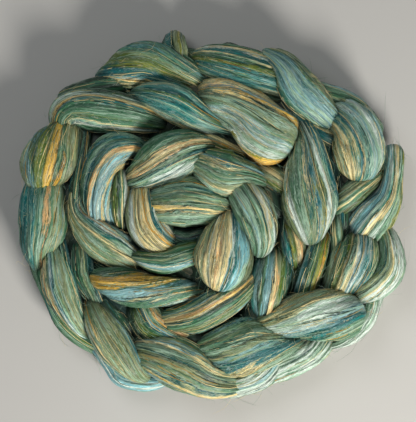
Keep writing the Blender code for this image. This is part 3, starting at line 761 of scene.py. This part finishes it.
def sample(made, ring, column):
    """Points and outward directions of a lobe at fractional ring and column numbers."""
    rings, around, _ = made["points"].shape
    r0 = np.clip(np.floor(ring).astype(int), 0, rings - 2)
    fr = np.clip(ring - r0, 0, 1)[..., None]
    c0 = np.floor(column).astype(int)
    fc = (column - c0)[..., None]
    c0, c1 = c0 % around, (c0 + 1) % around

    def at(grid):
        return (grid[r0, c0] * (1 - fc) + grid[r0, c1] * fc) * (1 - fr) + (
            grid[r0 + 1, c0] * (1 - fc) + grid[r0 + 1, c1] * fc
        ) * fr

    return at(made["points"]), unit(at(made["out"]))


def lying_fibres(made, rng, count, points=7):
    """Fibres that lie along a lobe, with both ends let into it."""
    rings, around, _ = made["points"].shape
    column = rng.uniform(0.12, 0.88, count) * around
    start = rng.uniform(0.1, 0.6, count)
    length = rng.uniform(0.15, 0.4, count)
    s = np.linspace(0, 1, points)[None]
    ring = np.clip(start[:, None] + length[:, None] * s, 0.01, 0.985) * (rings - 1)
    bend = rng.normal(0, 1.3, (count, 1)) * s + rng.normal(0, 0.8, (count, 1)) * np.sin(s * math.pi * 2)
    bend = bend - 2.4 * made["drift"] * length[:, None] * s * around / (1.24 * math.pi)
    place, out = sample(made, ring, column[:, None] + bend)
    lift = (np.sin(s * math.pi) * rng.uniform(0.15, 0.6, (count, 1))) - 0.12
    return place + out * lift[..., None]


HAIRS_TOP = 66.0  # height at which the flyaway fibres lay themselves down, mm


def standing_fibres(made, rng, count, points=7):
    """Flyaway fibres: fine hairs that leave the lobe, curl, and mostly come back to it."""
    rings, around, _ = made["points"].shape
    column = rng.uniform(0.0, 1.0, count) * around
    ring = rng.uniform(0.06, 0.94, count) * (rings - 1)
    root, out = sample(made, ring, column)
    ahead = made["ahead"][np.clip(ring.astype(int), 0, rings - 1)] * rng.choice([-1, 1], (count, 1))
    length = rng.gamma(2.5, 2.4, count)[:, None] + 2
    drift = unit(rng.normal(size=(count, 3)))
    lean = unit(ahead * rng.uniform(0.5, 1.5, (count, 1)) + out * rng.uniform(0.15, 0.8, (count, 1)) + drift * 0.5)
    back = unit(drift * 0.6 + ahead * 0.5 - out * rng.uniform(0.3, 1.2, (count, 1)))
    sideways = unit(np.cross(lean, out + 0.01))
    s = np.linspace(0, 1, points)[None, :, None]
    path = (
        root[:, None] - out[:, None] * 0.25 + lean[:, None] * (length[:, None] * s)
        + back[:, None] * (length[:, None] * rng.uniform(0.2, 0.8, (count, 1, 1)) * s**2)
        + sideways[:, None] * (length[:, None] * rng.normal(0, 0.12, (count, 1, 1)) * np.sin(s * 2.2 * math.pi))
    )
    path[..., 2] = np.maximum(path[..., 2], SHIFT[2] + 0.15)
    over = np.maximum(path[..., 2] - HAIRS_TOP - SHIFT[2], 0)
    path[..., 2] += 4 * np.tanh(over / 4) - over
    return path


# ---- the object ----


def lobe_of(row):
    lobe = dict(zip(LOBE_COLUMNS, row))
    for side in ("left", "right"):
        for axis in ("_x", "_y"):
            lobe[side + axis] = [lobe["%s%d%s" % (side, station, axis)] for station in range(5)]
    return lobe


def back_lobes():
    found = []
    for row in (dict(zip(BACK_COLUMNS, r)) for r in BACK):
        lobes = []
        for index in range(row["count"]):
            angle = math.radians(row["turn"]) + 2 * math.pi * index / row["count"]
            lobe = dict(thick=row["thick"], dive0=0.0, dive1=0.0, reach0=0.0, reach1=0.0, drift=0.15)
            lobe["z0"] = lobe["z3"] = row["height"] - 1.5
            lobe["zm"] = row["height"]
            middle = []
            for step in np.linspace(-0.5, 0.5, 5):
                along = step * row["length"] * math.cos(math.radians(row["slant"]))
                across = step * row["length"] * math.sin(math.radians(row["slant"]))
                reach = row["radius"] + across
                here = angle + along / max(row["radius"], 20.0)
                middle.append((reach * math.cos(here) * COIL_LONG / 264, reach * math.sin(here) * COIL_DEEP / 264))
            middle = np.array(middle)
            ahead = unit(np.gradient(middle, axis=0))
            across = np.stack([-ahead[:, 1], ahead[:, 0]], axis=-1)
            wide = np.array([0.55, 0.9, 1.0, 0.9, 0.55])[:, None] * row["wide"] / 2
            for side, sign in (("left", 1), ("right", -1)):
                edge = middle + across * wide * sign
                lobe[side + "_x"], lobe[side + "_y"] = edge[:, 0], edge[:, 1]
            lobes.append(lobe)
        found.append((row["name"], lobes))
    return found


made_lobes = {}
drifts = {name: drift for name, drift, _ in STRIPES}
for number, row in enumerate(LOBES):
    made_lobes[row[0]] = surface(dict(lobe_of(row), drift=drifts[row[0]]), ROUND, ALONG, 100 + number)
heights = top_map(made_lobes.values())

for number, (name, _, text) in enumerate(STRIPES):
    points, faces, uv, fibre, stripe = lobe_parts(made_lobes[name], number)
    # the hollow attribute sets the painted shade: the larger of the crease depth and the nearness to a turned-in end
    piece = add_mesh(
        name, (points - SHIFT) * MM, faces, uv=uv, vectors={"fibre": fibre},
        numbers={"stripe": stripe, "hollow": np.maximum(hollow(points, heights), turned_in(made_lobes[name]))}, material=wool("wool_" + name, text),
    )
    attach(piece, "root")
    if number == 0:
        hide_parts("roving_braid")

back_wools = [wool("wool_back_%d" % number, text, 0.1) for number, text in enumerate(BACK_STRIPES)]
made_backs = []
seed = 500
for ring_name, lobes in back_lobes():
    # painted shade on the lobes under the plait: their crease shade counts 1.3 times, and the core lobes get 0.45 more
    core_shade = 0.45 if ring_name.startswith("core") else 0.0
    for group, text in enumerate(BACK_STRIPES):
        chosen = lobes[group :: len(BACK_STRIPES)]
        if not chosen:
            continue
        gathered = [[], [], [], [], []]
        offset = 0
        for place, lobe in enumerate(chosen):
            seed += 1
            flip = -1.0 if ring_name.startswith("back") else 1.0
            if ring_name.startswith("back"):
                made = surface(lobe, BACK_ROUND, BACK_ALONG, seed, flip)
                made_backs.append(made)
            else:
                made = surface(lobe, CORE_ROUND, CORE_ALONG, seed)
            points, faces, uv, fibre, stripe = lobe_parts(made, seed)
            gathered[0].append(points)
            gathered[1] += [[v + offset for v in face] for face in faces]
            gathered[2].append((uv + np.array([place, 0])) * np.array([1 / len(chosen), 1]))
            gathered[3].append(fibre)
            gathered[4].append(stripe)
            offset += len(points)
        piece = add_mesh(
            "%s_%d" % (ring_name, group), (np.concatenate(gathered[0]) - SHIFT) * MM, gathered[1],
            uv=np.concatenate(gathered[2]), vectors={"fibre": np.concatenate(gathered[3])},
            numbers={
                "stripe": np.concatenate(gathered[4]),
                "hollow": np.clip(hollow(np.concatenate(gathered[0]), heights) * 1.3 + core_shade, 0, 1),
            },
            material=back_wools[group],
        )
        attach(piece, "root")

rng = np.random.default_rng(77)
lying, standing = [], []
for made in made_lobes.values():
    size = made["wide"] * made["length"] / (30 * 80)
    lying.append(lying_fibres(made, rng, int(55 * size)))
    standing.append(standing_fibres(made, rng, int(130 * size)))
for made in made_backs:
    standing.append(standing_fibres(made, rng, 22))
lying = np.concatenate(lying)
standing = np.concatenate(standing)
picks = rng.choice(5, len(lying), p=[0.26, 0.36, 0.04, 0.12, 0.22])
for group, shade in enumerate(("c", "S", "y", "T", "d")):
    chosen = lying[picks == group]
    piece = strands(chosen, rng.uniform(0.09, 0.26, len(chosen)), shade, "lying_fibres_%d" % group)
    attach(piece, "root")
picks = rng.choice(3, len(standing), p=[0.4, 0.35, 0.25])
for group, shade in enumerate(("S", "s", "c")):
    chosen = standing[picks == group]
    piece = strands(chosen, rng.uniform(0.045, 0.085, len(chosen)), shade, "flyaway_fibres_%d" % group)
    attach(piece, "root")

# ---- floor, light and camera ----

floor_mesh = bpy.data.meshes.new("floor")
floor_mesh.from_pydata([(-4, -4, 0), (4, -4, 0), (4, 4, 0), (-4, 4, 0)], [], [(0, 1, 2, 3)])
floor = bpy.data.objects.new("floor", floor_mesh)
bpy.context.scene.collection.objects.link(floor)
floor.location.z = -0.0002
paper = Nodes("pale_floor")
paper_shader = paper.add("ShaderNodeBsdfPrincipled")
paper_shader.inputs["Base Color"].default_value = (0.62, 0.6, 0.57, 1)
paper_shader.inputs["Roughness"].default_value = 0.9
paper.put(paper.add("ShaderNodeOutputMaterial").inputs["Surface"], paper_shader.outputs[0])
floor_mesh.materials.append(paper.material)


def soft_light(name, place, size, power, colour):
    data = bpy.data.lights.new(name, "AREA")
    data.shape = "DISK"
    data.size = size
    data.energy = power
    data.color = colour
    thing = bpy.data.objects.new(name, data)
    bpy.context.scene.collection.objects.link(thing)
    thing.location = place
    direction = -np.array(place)
    thing.rotation_mode = "QUATERNION"
    from mathutils import Vector

    thing.rotation_quaternion = Vector(direction).to_track_quat("-Z", "Y")
    return thing


soft_light("key", (0.5, -0.82, 0.7), 0.4, 13.9, (1.0, 0.98, 0.93))
soft_light("fill", (-0.5, 0.6, 1.2), 0.8, 4.8, (0.92, 0.97, 1.0))

world = bpy.data.worlds.new("studio")
world.use_nodes = True
world.node_tree.nodes["Background"].inputs["Color"].default_value = (0.95, 0.98, 1.0, 1)
world.node_tree.nodes["Background"].inputs["Strength"].default_value = 0.1
bpy.context.scene.world = world

camera_data = bpy.data.cameras.new("camera")
camera = bpy.data.objects.new("camera", camera_data)
bpy.context.scene.collection.objects.link(camera)
HIGH = 1250.0  # camera's height over the lobes, mm
camera.location = (((208 - 213) * PIXEL - SHIFT[0]) * MM, ((215.5 - 211) * PIXEL - SHIFT[1]) * MM, (HIGH + 30) * MM)
camera_data.sensor_width = 36
camera_data.lens = 36 * HIGH / (422 * PIXEL)
camera_data.clip_start, camera_data.clip_end = 0.05, 20
bpy.context.scene.camera = camera
bpy.context.scene.view_settings.view_transform = "Standard"
bpy.context.scene.view_settings.look = "None"
